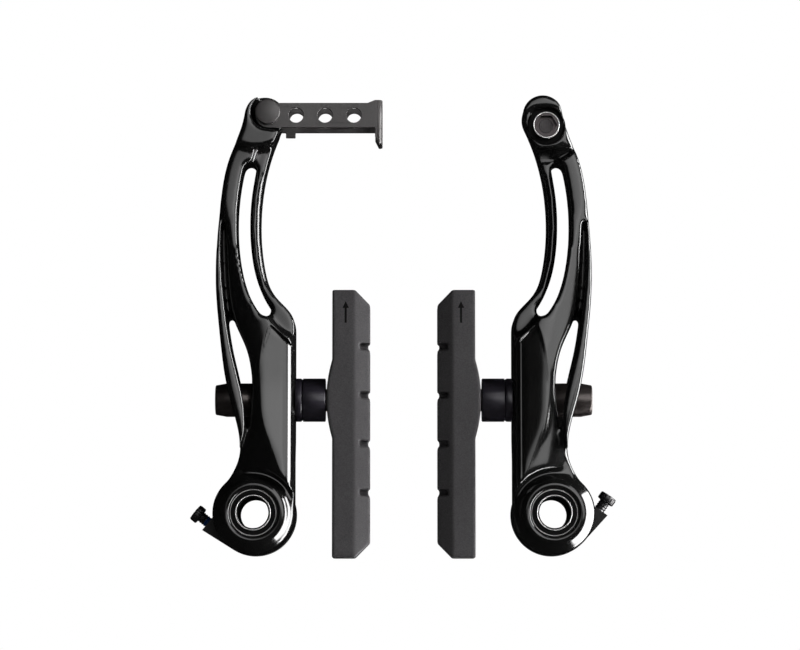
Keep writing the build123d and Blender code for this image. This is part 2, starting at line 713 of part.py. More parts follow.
def pad_nut():
    """Barrel nut with a tapered end and a hexagon socket."""
    with BuildPart() as nut:
        with BuildSketch(along_stud()):
            Polygon(
                (NUT_FACE, CUP_BORE),
                (NUT_FACE, NUT_RADIUS),
                (NUT_END + NUT_TAPER_LENGTH, NUT_RADIUS),
                (NUT_END, NUT_RADIUS - NUT_TAPER),
                (NUT_END, CUP_BORE),
                align=None,
            )
        revolve(axis=STUD_AXIS)
        with BuildSketch(across(NUT_END)):
            RegularPolygon(SOCKET_ACROSS / 2, 6, major_radius=False)
        extrude(amount=SOCKET_DEPTH, mode=Mode.SUBTRACT)
    return nut.part


# Pad
def pad_stud():
    """Threaded stud with the long plate that is moulded into the pad."""
    with BuildPart() as stud:
        with BuildSketch(across(STUD_END)):
            Circle(STUD_RADIUS)
        extrude(amount=PLATE_BACK - STUD_END)
        with BuildSketch(across(PLATE_BACK)):
            with Locations((0, (PAD_ABOVE - PAD_BELOW) / 2)):
                Rectangle(PLATE_WIDTH, PLATE_LENGTH)
        extrude(amount=PLATE_THICKNESS)
    return stud.part


def brake_pad():
    """Rubber block: bevelled towards the rim, chamfered at its ends, with cross grooves and a back boss."""
    top = STUD_HEIGHT + PAD_ABOVE
    foot = STUD_HEIGHT - PAD_BELOW
    half = PAD_WIDTH / 2
    face_half = PAD_FACE_WIDTH / 2
    groove_middle = STUD_HEIGHT + GROOVE_FIRST + GROOVE_PITCH * (GROOVE_COUNT - 1) / 2
    with BuildPart() as pad:
        with BuildSketch(front(STUD_DEPTH)):
            with BuildLine():
                boss = ThreePointArc(
                    (PAD_BACK, STUD_HEIGHT - PAD_BOSS_WIDTH / 2),
                    (PAD_BOSS_FACE, STUD_HEIGHT),
                    (PAD_BACK, STUD_HEIGHT + PAD_BOSS_WIDTH / 2),
                )
                Polyline(
                    boss @ 1,
                    (PAD_BACK, top),
                    (PAD_FACE - PAD_END_CHAMFER, top),
                    (PAD_FACE, top - PAD_END_CHAMFER),
                    (PAD_FACE, foot + PAD_END_CHAMFER),
                    (PAD_FACE - PAD_END_CHAMFER, foot),
                    (PAD_BACK, foot),
                    boss @ 0,
                )
            make_face()
        extrude(amount=half, both=True)
        with BuildSketch(Plane(origin=(-PIVOT_SPACING / 2, -STUD_DEPTH, STUD_HEIGHT), z_dir=(0, 0, 1))):
            for way in (-1, 1):
                Polygon(
                    (PAD_BEVEL_LINE, way * half),
                    (PAD_FACE, way * face_half),
                    (2 * PAD_FACE, way * face_half),
                    (2 * PAD_FACE, way * PAD_WIDTH),
                    (PAD_BEVEL_LINE, way * PAD_WIDTH),
                    align=None,
                )
        extrude(amount=2 * PAD_BELOW, both=True, mode=Mode.SUBTRACT)
        for depth, reach, amount in [
            (STUD_DEPTH + GROOVE_WEB / 2, GROOVE_DEPTH, PAD_WIDTH),
            (STUD_DEPTH - GROOVE_WEB / 2, GROOVE_DEPTH, -PAD_WIDTH),
            (STUD_DEPTH - GROOVE_WEB / 2, GROOVE_WEB_DROP, GROOVE_WEB),
        ]:
            with BuildSketch(front(depth)):
                with Locations((PAD_FACE, groove_middle)):
                    with GridLocations(0, GROOVE_PITCH, 1, GROOVE_COUNT):
                        Rectangle(2 * reach, GROOVE_WIDTH)
            extrude(amount=amount, mode=Mode.SUBTRACT)
        add(pad_stud(), mode=Mode.SUBTRACT)
    return pad.part


# Cable link and its pin
def cable_link():
    """Folded steel yoke: two plates with round holes, joined by an end plate with an open keyhole."""
    outside = LINK_FRONT_PLATE + LINK_PLATE - LINK_REAR_PLATE
    end = LINK_PIN_IN + LINK_REACH
    low = LINK_PIN_HEIGHT - LINK_BELOW
    high = LINK_PIN_HEIGHT + LINK_ABOVE
    half = (high - low) / 2
    centre = (high + low) / 2
    with BuildPart() as link:
        with BuildSketch(front(LINK_REAR_PLATE)):
            with Locations((LINK_PIN_IN, centre)):
                Circle(half)
            Polygon(
                (LINK_PIN_IN, low),
                (end - LINK_FLARE / 2, low),
                (end - LINK_FLARE / 2, low - LINK_END_DROP + LINK_FLARE / 2),
                (end - LINK_PLATE, low - LINK_END_DROP),
                (end, low - LINK_END_DROP),
                (end, high + LINK_END_RISE),
                (end - LINK_FLARE / 2, high + LINK_END_RISE),
                (end - LINK_FLARE, high),
                (LINK_PIN_IN, high),
                align=None,
            )
        extrude(amount=outside)
        fold = link.edges().filter_by(Axis.Z).group_by(Axis.X)[-1]
        fillet(fold, LINK_FOLD_ROUND)
        with BuildSketch(front(LINK_REAR_PLATE + LINK_PLATE)):
            with Locations(((LINK_PIN_IN + end) / 2 - LINK_PLATE, centre)):
                Rectangle(LINK_REACH + 2 * half, 8 * half)
            with Locations((end, centre)):
                Rectangle(2 * LINK_PLATE, 8 * half, mode=Mode.SUBTRACT)
        extrude(amount=outside - 2 * LINK_PLATE, mode=Mode.SUBTRACT)
        with BuildSketch(front(0)):
            with Locations((LINK_PIN_IN, LINK_PIN_HEIGHT)):
                Circle(PIN_RADIUS + RUNNING_CLEARANCE)
            for number in range(LINK_HOLE_COUNT):
                reach = LINK_PIN_IN + LINK_HOLE_FIRST + number * LINK_HOLE_PITCH
                with Locations((reach, centre)):
                    Circle(LINK_HOLE_RADIUS)
        extrude(amount=2 * ARM_FRONT, mode=Mode.SUBTRACT)
        middle = (LINK_FRONT_PLATE + LINK_PLATE + LINK_REAR_PLATE) / 2
        keyhole = Plane(
            origin=(-PIVOT_SPACING / 2 + end, -middle, centre - half / 2),
            x_dir=(0, 1, 0),
            z_dir=(1, 0, 0),
        )
        with BuildSketch(keyhole):
            Circle(KEYHOLE_RADIUS)
            Rectangle(KEYHOLE_SLOT, 4 * half, align=(Align.CENTER, Align.MIN))
        extrude(amount=2 * LINK_PLATE, both=True, mode=Mode.SUBTRACT)
        with BuildSketch(front(LINK_REAR_PLATE)):
            with Locations((LINK_PIN_IN + LINK_TAB_START, low + LINK_PLATE)):
                Rectangle(LINK_TAB_WIDTH, LINK_TAB_DROP + LINK_PLATE, align=(Align.MIN, Align.MAX))
        extrude(amount=LINK_PLATE)
    return link.part


def link_pin():
    """Headed pin that the link turns on, riveted behind the rear plate."""
    with BuildPart() as pin:
        with BuildSketch(front(LINK_REAR_PLATE - PIN_GAP - PIN_TAIL)):
            with Locations((LINK_PIN_IN, LINK_PIN_HEIGHT)):
                Circle(PIN_HEAD_RADIUS - PIN_TAIL / 2)
        extrude(amount=PIN_TAIL)
        with BuildSketch(front(LINK_REAR_PLATE - PIN_GAP)):
            with Locations((LINK_PIN_IN, LINK_PIN_HEIGHT)):
                Circle(PIN_RADIUS)
        extrude(amount=PIN_HEAD_BACK - LINK_REAR_PLATE + PIN_GAP)
        with BuildSketch(front(PIN_HEAD_BACK)):
            with Locations((LINK_PIN_IN, LINK_PIN_HEIGHT)):
                Circle(PIN_HEAD_RADIUS)
        extrude(amount=PIN_HEAD_HEIGHT)
        chamfer(pin.faces().sort_by(Axis.Y)[0].edges(), PIN_HEAD_ROUND)
    return pin.part


# Cable anchor
def clamp_washer():
    """Thick washer with the upper half of the cable's groove."""
    with BuildPart() as washer:
        with BuildSketch(front(ANCHOR_FLOOR)):
            with Locations((ANCHOR_IN, ANCHOR_HEIGHT)):
                Circle(CLAMP_WASHER_RADIUS)
                Circle(ANCHOR_BOLT_RADIUS + RUNNING_CLEARANCE, mode=Mode.SUBTRACT)
        extrude(amount=CLAMP_WASHER_THICKNESS)
        add(cable_passage(), mode=Mode.SUBTRACT)
    return washer.part


def anchor_bolt():
    """Socket-headed bolt that clamps the cable."""
    with BuildPart() as bolt:
        with BuildSketch(front(ARM_TOP_REAR)):
            with Locations((ANCHOR_IN, ANCHOR_HEIGHT)):
                Circle(ANCHOR_BOLT_RADIUS)
        extrude(amount=CLAMP_FRONT - ARM_TOP_REAR)
        with BuildSketch(front(CLAMP_FRONT)):
            with Locations((ANCHOR_IN, ANCHOR_HEIGHT)):
                Circle(ANCHOR_HEAD_RADIUS)
        extrude(amount=ANCHOR_HEAD_HEIGHT)
        chamfer(bolt.faces().sort_by(Axis.Y)[0].edges(), PIN_HEAD_ROUND)
        with BuildSketch(front(CLAMP_FRONT + ANCHOR_HEAD_HEIGHT)):
            with Locations((ANCHOR_IN, ANCHOR_HEIGHT)):
                RegularPolygon(ANCHOR_SOCKET_ACROSS / 2, 6, major_radius=False)
        extrude(amount=-ANCHOR_SOCKET_DEPTH, mode=Mode.SUBTRACT)
    return bolt.part


# Writing the pieces
def keep(solid, name, mirrored=False):
    """Label a piece, mirrored to the right side where it belongs there, and write it."""
    piece = mirror(solid, about=Plane.YZ) if mirrored else solid
    piece.label = name
    export_step(piece, f"parts/{name}.step")


os.makedirs("parts", exist_ok=True)

for side in ("left", "right"):
    right = side == "right"
    turn = RIGHT_HOUSING_TURN if right else LEFT_HOUSING_TURN
    pieces = {
        "arm": arm_body(anchor_seat() if right else link_seat(), turn),
        "pivot_sleeve": ring(BOSS_BORE, SLEEVE_RADIUS, 0, SLEEVE_LENGTH),
        "pivot_liner": ring(LINER_BORE, LINER_RADIUS, HUB_REAR, HUB_FRONT - LINER_RECESS),
        "spring_housing": spring_housing(turn),
        "return_spring": return_spring(turn),
        "tension_screw": tension_screw(turn),
        "inner_dome_washer": dome_washer(1, WASHER_RADIUS),
        "inner_cup_washer": cup_washer(1, WASHER_RADIUS, INNER_CUP_FACE),
        "outer_dome_washer": dome_washer(-1, OUTER_WASHER_RADIUS),
        "outer_cup_washer": cup_washer(-1, OUTER_WASHER_RADIUS, OUTER_CUP_FACE),
        "flat_washer": flat_washer(),
        "pad_nut": pad_nut(),
        "pad_stud": pad_stud(),
        "pad": brake_pad(),
    }
    for name, solid in pieces.items():
        keep(solid, f"{side}_{name}", mirrored=right)

keep(cable_link(), "cable_link")
keep(link_pin(), "link_pin")
keep(clamp_washer(), "clamp_washer", mirrored=True)
keep(anchor_bolt(), "anchor_bolt", mirrored=True)
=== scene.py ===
# %% [markdown]
# A linear-pull bicycle brake, seen from the front as a shop would show it: two black arms, each with a
# rubber pad, a round pivot at its foot and a fitting for the cable at its top. The solids come from the
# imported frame. This lesson gives them their finishes, rounds their edges and adds the small details that
# are only skin deep.

# %% Load the frame
import json
import math

import bpy
import numpy as np
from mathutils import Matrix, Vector


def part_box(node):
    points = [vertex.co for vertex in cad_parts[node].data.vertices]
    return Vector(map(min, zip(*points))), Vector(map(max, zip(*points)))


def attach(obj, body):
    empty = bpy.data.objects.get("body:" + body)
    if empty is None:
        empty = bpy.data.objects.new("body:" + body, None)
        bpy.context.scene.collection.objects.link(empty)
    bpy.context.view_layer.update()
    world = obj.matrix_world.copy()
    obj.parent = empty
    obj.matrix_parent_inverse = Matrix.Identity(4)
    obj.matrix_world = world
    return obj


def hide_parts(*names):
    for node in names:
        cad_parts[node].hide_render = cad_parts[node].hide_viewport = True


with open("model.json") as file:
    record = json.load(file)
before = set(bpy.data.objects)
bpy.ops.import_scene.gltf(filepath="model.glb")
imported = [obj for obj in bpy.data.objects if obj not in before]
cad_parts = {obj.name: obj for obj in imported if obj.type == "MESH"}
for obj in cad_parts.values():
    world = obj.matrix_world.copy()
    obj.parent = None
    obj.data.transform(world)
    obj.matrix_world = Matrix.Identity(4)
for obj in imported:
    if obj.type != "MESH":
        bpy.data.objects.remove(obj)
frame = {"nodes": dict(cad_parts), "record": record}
nodes = frame["nodes"]
scene = bpy.context.scene
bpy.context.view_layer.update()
MM = 0.001

# %% [markdown]
# The camera. The shop's picture is taken with a long lens from a little below the middle of the brake, so
# the undersides of the link and of the pads just show. The frame is 213 mm wide at the front of the arms.

# %% Camera
DISTANCE = 0.9
FRAME_WIDTH = 0.2133
RISE = 5.4
target = Vector((-1.0 * MM, -20 * MM, 50 * MM))
back = Vector((0, -math.cos(math.radians(RISE)), -math.sin(math.radians(RISE))))
camera_data = bpy.data.cameras.new("camera")
camera_data.sensor_width = 36
camera_data.lens = 36 * DISTANCE / FRAME_WIDTH
camera = bpy.data.objects.new("camera", camera_data)
camera.location = target + back * DISTANCE
camera.rotation_euler = (-back).to_track_quat("-Z", "Y").to_euler()
scene.collection.objects.link(camera)
scene.camera = camera
print("camera at", [round(v, 3) for v in camera.location], "lens", round(camera_data.lens, 1))

# %% [markdown]
# The room. Gloss black has no colour of its own: it shows what it mirrors. The world is plain white to the
# eye and to mirrors, and gives an even fill light to everything else.


# %% White room and floor
def node_tree(owner):
    """Turn an owner's nodes on, empty its tree and give back a maker of nodes and a maker of links."""
    owner.use_nodes = True
    tree = owner.node_tree
    tree.nodes.clear()

    def make(kind, **settings):
        made = tree.nodes.new("ShaderNode" + kind)
        for key, value in settings.items():
            if hasattr(made, key):
                setattr(made, key, value)
            else:
                made.inputs[key.replace("_", " ")].default_value = value
        return made

    return make, tree.links.new


world = bpy.data.worlds.new("white_room")
scene.world = world
make, link = node_tree(world)
rays = make("LightPath")
seen = make("Math", operation="MAXIMUM")
link(rays.outputs["Is Camera Ray"], seen.inputs[0])
link(rays.outputs["Is Glossy Ray"], seen.inputs[1])
shown = make("Math", operation="MAXIMUM")
link(seen.outputs[0], shown.inputs[0])
link(rays.outputs["Is Transmission Ray"], shown.inputs[1])
fill = make("Background", Color=(1, 1, 1, 1), Strength=0.09)
white = make("Background", Color=(1, 1, 1, 1), Strength=1.0)
choose = make("MixShader")
link(shown.outputs[0], choose.inputs[0])
link(fill.outputs[0], choose.inputs[1])
link(white.outputs[0], choose.inputs[2])
link(choose.outputs[0], make("OutputWorld").inputs["Surface"])


def flat_sheet(name, corners):
    """One flat four-cornered sheet of the studio, from its corners in metres."""
    mesh = bpy.data.meshes.new(name)
    mesh.from_pydata(corners, [], [(0, 1, 2, 3)])
    sheet = bpy.data.objects.new(name, mesh)
    scene.collection.objects.link(sheet)
    sheet.data.materials.append(bpy.data.materials.new(name))
    return sheet


FLOOR = -0.05
floor = flat_sheet("floor", [(-3, -3, FLOOR), (3, -3, FLOOR), (3, 3, FLOOR), (-3, 3, FLOOR)])
make, link = node_tree(floor.data.materials[0])
paper = make("BsdfPrincipled", Base_Color=(0.9, 0.9, 0.9, 1), Roughness=0.8)
link(paper.outputs[0], make("OutputMaterial").inputs["Surface"])
floor.visible_glossy = False
print("white room with a pale floor at", FLOOR)

# %% [markdown]
# The cards. A photographer of black gloss puts dark cloth round the object and a pale card behind the
# camera, so that faces turned to the lens are grey and every edge that turns away goes black. The front
# card is brighter towards the right, which parts faces that lean right from those that lean left, and it
# ends above the hubs, which stay black. One tall bright strip on the right draws the white lines along the
# right-hand edges. Only mirrors see these cards.


# %% Cards that mirrors see
SIDE, NEAR, FAR, LOW, HIGH = 0.42, -1.0, 0.6, -0.55, 0.6


def mirror_card(name, corners, strength, shades=()):
    """A card that shows in reflections alone; shades gives its level at places from left to right."""
    card = flat_sheet(name, corners)
    make, link = node_tree(card.data.materials[0])
    glow = make("Emission", Color=(1, 1, 1, 1), Strength=strength)
    if shades:
        across = make("SeparateXYZ")
        link(make("TexCoord").outputs["Object"], across.inputs[0])
        part = make("MapRange", From_Min=-SIDE, From_Max=SIDE, To_Min=0.0, To_Max=1.0)
        link(across.outputs["X"], part.inputs["Value"])
        ramp = make("ValToRGB")
        for spare in range(len(shades) - 2):
            ramp.color_ramp.elements.new(0.5)
        for stop, (place, level) in zip(ramp.color_ramp.elements, shades):
            stop.position = place / (2 * SIDE) + 0.5
            stop.color = (level, level, level, 1)
        link(part.outputs[0], ramp.inputs[0])
        link(ramp.outputs[0], glow.inputs["Color"])
    link(glow.outputs[0], make("OutputMaterial").inputs["Surface"])
    card.data.materials[0].cycles.emission_sampling = "NONE"
    card.visible_camera = False
    card.visible_diffuse = False
    card.visible_shadow = False
    card.visible_transmission = False


def upright(place, near, far, low, high):
    """Corners of a card that stands along the line of sight at a place across it."""
    return [(place, near, low), (place, far, low), (place, far, high), (place, near, high)]


def lying(place, near, far, left, right):
    """Corners of a card that lies level at a height."""
    return [(left, near, place), (right, near, place), (right, far, place), (left, far, place)]


def facing(place, half, low):
    """Corners of a card that stands across the line of sight, as wide as twice half, up to the top."""
    return [(-half, place, low), (half, place, low), (half, place, HIGH), (-half, place, HIGH)]


DARK = 0.004
CARD_FOOT = 0.06
mirror_card("left_cloth", upright(-SIDE, NEAR, FAR, LOW, HIGH), DARK)
mirror_card("right_cloth", upright(SIDE, NEAR, FAR, LOW, HIGH), DARK)
mirror_card("top_cloth", lying(HIGH, NEAR, FAR, -SIDE, SIDE), DARK)
mirror_card("low_cloth", lying(LOW, NEAR, FAR, -SIDE, SIDE), DARK)
mirror_card("rear_cloth", facing(FAR, SIDE, LOW), DARK)
mirror_card("right_strip", upright(SIDE - 0.02, -0.16, 0.06, LOW + 0.02, 0.24), 24.0)
mirror_card("right_near", upright(SIDE - 0.01, NEAR, -0.42, CARD_FOOT - 0.1, HIGH), 3.0)
front_shades = [(-0.24, 0.0), (-0.16, 0.30), (0.0, 0.42), (0.12, 0.55), (0.25, 0.7), (0.40, 0.8)]
mirror_card("front_card", facing(NEAR, SIDE, CARD_FOOT), 5.0, front_shades)
mirror_card("front_cloth", facing(NEAR - 0.01, SIDE + 0.02, LOW), DARK)


def lamp(name, place, aim, width, height, power):
    """A rectangular lamp at a place, turned to a point, that mirrors don't see."""
    data = bpy.data.lights.new(name, "AREA")
    data.shape = "RECTANGLE"
    data.size = width
    data.size_y = height
    data.energy = power
    thing = bpy.data.objects.new(name, data)
    thing.location = place
    thing.rotation_euler = (Vector(aim) - Vector(place)).to_track_quat("-Z", "Y").to_euler()
    thing.visible_glossy = False
    scene.collection.objects.link(thing)


MIDDLE = (0, 0, 0.05)
lamp("right_lamp", (1.0, -0.3, 0.3), MIDDLE, 0.4, 0.8, 20)
lamp("rear_lamp", (-0.5, 1.1, 0.6), MIDDLE, 0.6, 0.6, 9)
scene.view_settings.view_transform = "Standard"

# %% [markdown]
# Finishes. Every finish is made the same way: one shader whose colour, roughness and fine relief come from
# noise at the scale of the real surface. A helper holds that recipe, and each finish says its own numbers.


# %% A finish from noise
def surface_finish(
    name, colour, rough, metal=0.0, speck=0.15, grain_mm=0.5, relief=0.05, shine=0.5, patch=None
):
    """Shader with a base colour that varies by speck, roughness around rough, and noise relief of grain_mm.

    A patch colour covers the surface where the mesh's own "patch" attribute is 1.
    """
    paint = bpy.data.materials.new(name)
    make, link = node_tree(paint)
    place = make("TexCoord").outputs["Object"]
    fine = make("TexNoise", Scale=1 / (grain_mm * MM), Detail=3.0, Roughness=0.6)
    link(place, fine.inputs["Vector"])
    broad = make("TexNoise", Scale=90.0, Detail=2.0)
    link(place, broad.inputs["Vector"])
    tone = make("MapRange", From_Min=0.3, From_Max=0.7, To_Min=1 - speck, To_Max=1 + speck)
    link(fine.outputs["Fac"], tone.inputs["Value"])
    tint = make("VectorMath", operation="SCALE")
    tint.inputs[0].default_value = colour
    link(tone.outputs[0], tint.inputs["Scale"])
    dull = make("MapRange", From_Min=0.3, From_Max=0.7, To_Min=rough * 0.85, To_Max=min(rough * 1.15, 1))
    link(broad.outputs["Fac"], dull.inputs["Value"])
    bump = make("Bump", Strength=relief, Distance=0.1 * MM)
    link(fine.outputs["Fac"], bump.inputs["Height"])
    shader = make("BsdfPrincipled", Metallic=metal, Specular_IOR_Level=shine)
    if patch:
        cover = make("Mix", data_type="RGBA")
        link(make("Attribute", attribute_name="patch").outputs["Fac"], cover.inputs["Factor"])
        link(tint.outputs[0], cover.inputs[6])
        cover.inputs[7].default_value = (*patch, 1)
        link(cover.outputs[2], shader.inputs["Base Color"])
    else:
        link(tint.outputs[0], shader.inputs["Base Color"])
    link(dull.outputs[0], shader.inputs["Roughness"])
    link(bump.outputs[0], shader.inputs["Normal"])
    link(shader.outputs[0], make("OutputMaterial").inputs["Surface"])
    return paint


black_anodised = surface_finish(
    "black_anodised", (0.006, 0.006, 0.006), 0.13, speck=0.25, grain_mm=0.3, relief=0.03
)
moulded_black = surface_finish("moulded_black", (0.005, 0.005, 0.005), 0.4, grain_mm=0.6, shine=0.2)
liner_black = surface_finish("liner_black", (0.003, 0.003, 0.003), 0.45, shine=0.06)
spring_steel = surface_finish("spring_steel", (0.5, 0.5, 0.5), 0.3, metal=1.0, speck=0.05)
satin_grey = surface_finish("satin_grey", (0.036, 0.033, 0.033), 0.42, speck=0.2, grain_mm=0.3, shine=0.6)
block_rubber = surface_finish(
    "block_rubber", (0.045, 0.043, 0.045), 0.62, speck=0.3, grain_mm=0.3, relief=0.12, shine=0.3
)
washer_black = surface_finish("washer_black", (0.016, 0.014, 0.02), 0.38, shine=0.4)
blackened_steel = surface_finish("blackened_steel", (0.05, 0.043, 0.041), 0.34, metal=0.7)
screw_black = surface_finish("screw_black", (0.02, 0.019, 0.020), 0.35, metal=0.4, patch=(0.0, 0.035, 0.16))
bolt_steel = surface_finish("bolt_steel", (0.032, 0.027, 0.028), 0.25, metal=0.8, grain_mm=0.3)
# Bright metal for the bare rings, which also paints the highlights of the cut edges.
bare_highlight_metal = surface_finish("bare_highlight_metal", (0.55, 0.54, 0.54), 0.55, metal=0.6, speck=0.1, grain_mm=0.2)
sawn_steel = surface_finish("sawn_steel", (0.075, 0.068, 0.07), 0.5, metal=0.4, speck=0.2, grain_mm=0.2)

FINISHES = {
    "arm": black_anodised,
    "pivot_sleeve": liner_black,
    "pivot_liner": liner_black,
    "spring_housing": moulded_black,
    "return_spring": spring_steel,
    "tension_screw": screw_black,
    "dome_washer": washer_black,
    "cup_washer": washer_black,
    "flat_washer": blackened_steel,
    "pad_nut": blackened_steel,
    "pad_stud": blackened_steel,
    "pad": block_rubber,
    "cable_link": satin_grey,
    "link_pin": satin_grey,
    "clamp_washer": liner_black,
    "anchor_bolt": bolt_steel,
}
for name, thing in nodes.items():
    match = max((key for key in FINISHES if name.endswith(key)), key=len)
    thing.data.materials.clear()
    thing.data.materials.append(FINISHES[match])
print("finishes:", len(set(FINISHES.values())), "on", len(nodes), "solids")

# %% [markdown]
# Forged arms. The arms are forged and tumbled before they are blackened, so their edges are soft, about a
# millimetre round. A bevel would stop at every short edge of the mesh. Instead a copy of each arm is
# welded, cast again from small cubes and smoothed, which rounds every edge alike and leaves the faces where
# they are. These helpers cast, smooth and move the points of a mesh.


# %% Casting helpers
def keep_result(piece):
    """Make the mesh that a piece's modifiers give its own mesh, and clear them."""
    graph = bpy.context.evaluated_depsgraph_get()
    made = bpy.data.meshes.new_from_object(piece.evaluated_get(graph))
    piece.modifiers.clear()
    piece.data = made


def tumble(piece, rounds):
    """Smooth a piece for some rounds; its points keep their order."""
    soften = piece.modifiers.new("soften", "SMOOTH")
    soften.factor = 0.5
    soften.iterations = rounds
    keep_result(piece)


def cast_again(piece, size):
    """Weld a piece and cast it from small cubes."""
    weld = piece.modifiers.new("weld", "WELD")
    weld.merge_threshold = 0.001 * MM
    cast = piece.modifiers.new("cast", "REMESH")
    cast.mode = "VOXEL"
    cast.voxel_size = size
    cast.use_smooth_shade = True
    keep_result(piece)


def read_points(mesh, what):
    """The points or the normals of a mesh as rows of three."""
    flat = np.empty(len(mesh.vertices) * 3, dtype=np.float32)
    mesh.vertices.foreach_get(what, flat)
    return flat.reshape(-1, 3).astype(float)


def bring_forward(piece, amount):
    """Move each point towards the front by its own amount."""
    points = read_points(piece.data, "co")
    points[:, 1] -= amount
    piece.data.vertices.foreach_set("co", points.ravel())
    piece.data.update()


print("casting helpers ready")

# %% [markdown]
# The forms of the forging. Each is a function of place: how far a point lies inwards from the arm's pivot,
# how high up, and how deep towards the front. One finds the pocket where the pad's washers slide. The
# others say how far the surface comes forward or falls back: the face round the cable bolt comes forward, so
# that the bolt stands in a round well, and the boss falls away from that well. The lower panel leans
# inwards, and the rail beside the slot has a ridge.

# %% Forms of the forging
PIVOT_X = 40 * MM
STUD_HEIGHT, STUD_DEPTH, POCKET_STRAIGHT = 30.4 * MM, 13.2 * MM, 4.7 * MM
BOLT_IN, BOLT_HEIGHT = 1.9 * MM, 103.4 * MM
WELL, WELL_FLOOR, WELL_RISE, CONE_SLOPE = 4.75 * MM, 17.6 * MM, 4.6 * MM, 0.3
PANEL_EDGE = np.array([(4.6, 50.5), (1.9, 43.0), (1.45, 34.0), (2.9, 21.0), (7.0, 12.5), (8.4, 8.0)]) * MM
EDGE_LEAST = PANEL_EDGE[:, 0].min()
PANEL_FRONT, PANEL_SIDE, PANEL_LEAN = 22.2 * MM, 9.0 * MM, 0.18
STRIP_WIDTH, STRIP_SLOPE, BAND_SLOPE = 1.05 * MM, 0.93, 2.0
SHOULDER_HEIGHT, SHOULDER_IN, SHOULDER_FALL = 51.1 * MM, 3.7 * MM, 0.94
SLOT_LINE = np.array(
    [(3.0, 54.0), (-0.25, 60.0), (-2.2, 67.8), (-2.85, 76.5), (-2.5, 84.3), (-1.2, 92.0)]
) * MM
RIDGE_OFF, RAIL_SLOPE, RAIL_FALL = 2.75 * MM, 0.47, 1.3 * MM


def rise(value, low, high):
    """A smooth step from 0 at low to 1 at high."""
    part = np.clip((value - low) / (high - low), 0, 1)
    return part * part * (3 - 2 * part)


def well_rise(piece):
    """How far the flat floor outside the cable bolt's well comes forward, to the boss's front."""
    points = read_points(piece.data, "co")
    normals = read_points(piece.data, "normal")
    reach = np.hypot(PIVOT_X - points[:, 0] - BOLT_IN, points[:, 2] - BOLT_HEIGHT)
    on_floor = (np.abs(-points[:, 1] - WELL_FLOOR) < 0.7 * MM) & (normals[:, 1] < -0.3)
    near_bolt = (points[:, 2] > BOLT_HEIGHT - 7 * MM) & (reach < 12 * MM) & (reach > WELL)
    return WELL_RISE * on_floor * near_bolt


def washer_room(inward, up, depth):
    """1 in the long round-ended pocket where the washers slide close to the walls, and 0 just outside it."""
    off = np.hypot(depth - STUD_DEPTH, np.maximum(np.abs(up - STUD_HEIGHT) - POCKET_STRAIGHT, 0))
    return rise(-off, -7.0 * MM, -6.4 * MM) * rise(-inward, -10 * MM, -9 * MM)


def boss_cone(inward, up, depth):
    """Fall of the boss away from the cable bolt's well: a cone with a flat cap above the bolt."""
    reach = np.hypot(inward - BOLT_IN, up - BOLT_HEIGHT)
    below = rise(BOLT_HEIGHT - up, -4.5 * MM, -2.5 * MM) * rise(-reach, -10.5 * MM, -9 * MM)
    return -CONE_SLOPE * np.maximum(reach - WELL, 0) * below * rise(depth, 18.5 * MM, 20.5 * MM)


def panel_lean(inward, up, depth):
    """Shift of the lower panel: a plane that falls from its curved edge, a 43 degree strip and a steep band.

    The panel ends above at the shoulder, a line that falls towards the pad.
    """
    edge = np.polyval(np.polyfit(PANEL_EDGE[:, 1], PANEL_EDGE[:, 0], 4), up)
    shoulder = SHOULDER_HEIGHT - SHOULDER_FALL * (inward - SHOULDER_IN)
    height = rise(up, 7 * MM, 9 * MM) * rise(shoulder - up, 0, 0.7 * MM)
    hinge = edge - 0.5 * (edge - EDGE_LEAST) * rise(up, 26 * MM, 46 * MM)
    fall = PANEL_LEAN * (inward - hinge)
    in_face = rise(inward - edge, 0, 0.5 * MM) * (inward <= PANEL_SIDE)
    face = -fall * in_face * rise(depth, 18.9 * MM, 20.6 * MM)
    strip = STRIP_SLOPE * np.clip(inward - PANEL_SIDE, 0, STRIP_WIDTH)
    band = BAND_SLOPE * np.maximum(inward - PANEL_SIDE - STRIP_WIDTH, 0)
    wanted = PANEL_FRONT - PANEL_LEAN * np.maximum(PANEL_SIDE - hinge, 0) - strip - band
    at_side = (inward > PANEL_SIDE) * rise(depth, 16.5 * MM, 18.5 * MM)
    return height * (face + (wanted - depth) * at_side)


def rail_ridge(inward, up, depth):
    """Fall of the rail beside the slot from a ridge: 45 degrees to the slot, 25 to the other side."""
    ridge = np.interp(up, SLOT_LINE[:, 1], SLOT_LINE[:, 0]) + RIDGE_OFF
    off = inward - ridge
    fall = np.minimum(np.where(off > 0, RAIL_SLOPE * off, -off), RAIL_FALL)
    along = rise(up, 57 * MM, 62 * MM) * rise(-up, -92 * MM, -88 * MM)
    return -fall * along * rise(depth, 16 * MM, 18 * MM) * (off > -1.6 * MM) * (off < 3.5 * MM)


print("panel edge from", PANEL_EDGE[-1, 1] / MM, "to", PANEL_EDGE[0, 1] / MM, "mm up the arm")

# %% [markdown]
# Making the arms. Each arm is cast twice, and on the right one the face round the cable bolt is brought
# forward between the two castings. Then it is smoothed. The walls of the washers' pocket stay sharp and move
# out by a quarter of a millimetre, so that the washers slide freely. Last, the panel, the rail and the boss
# are shifted.

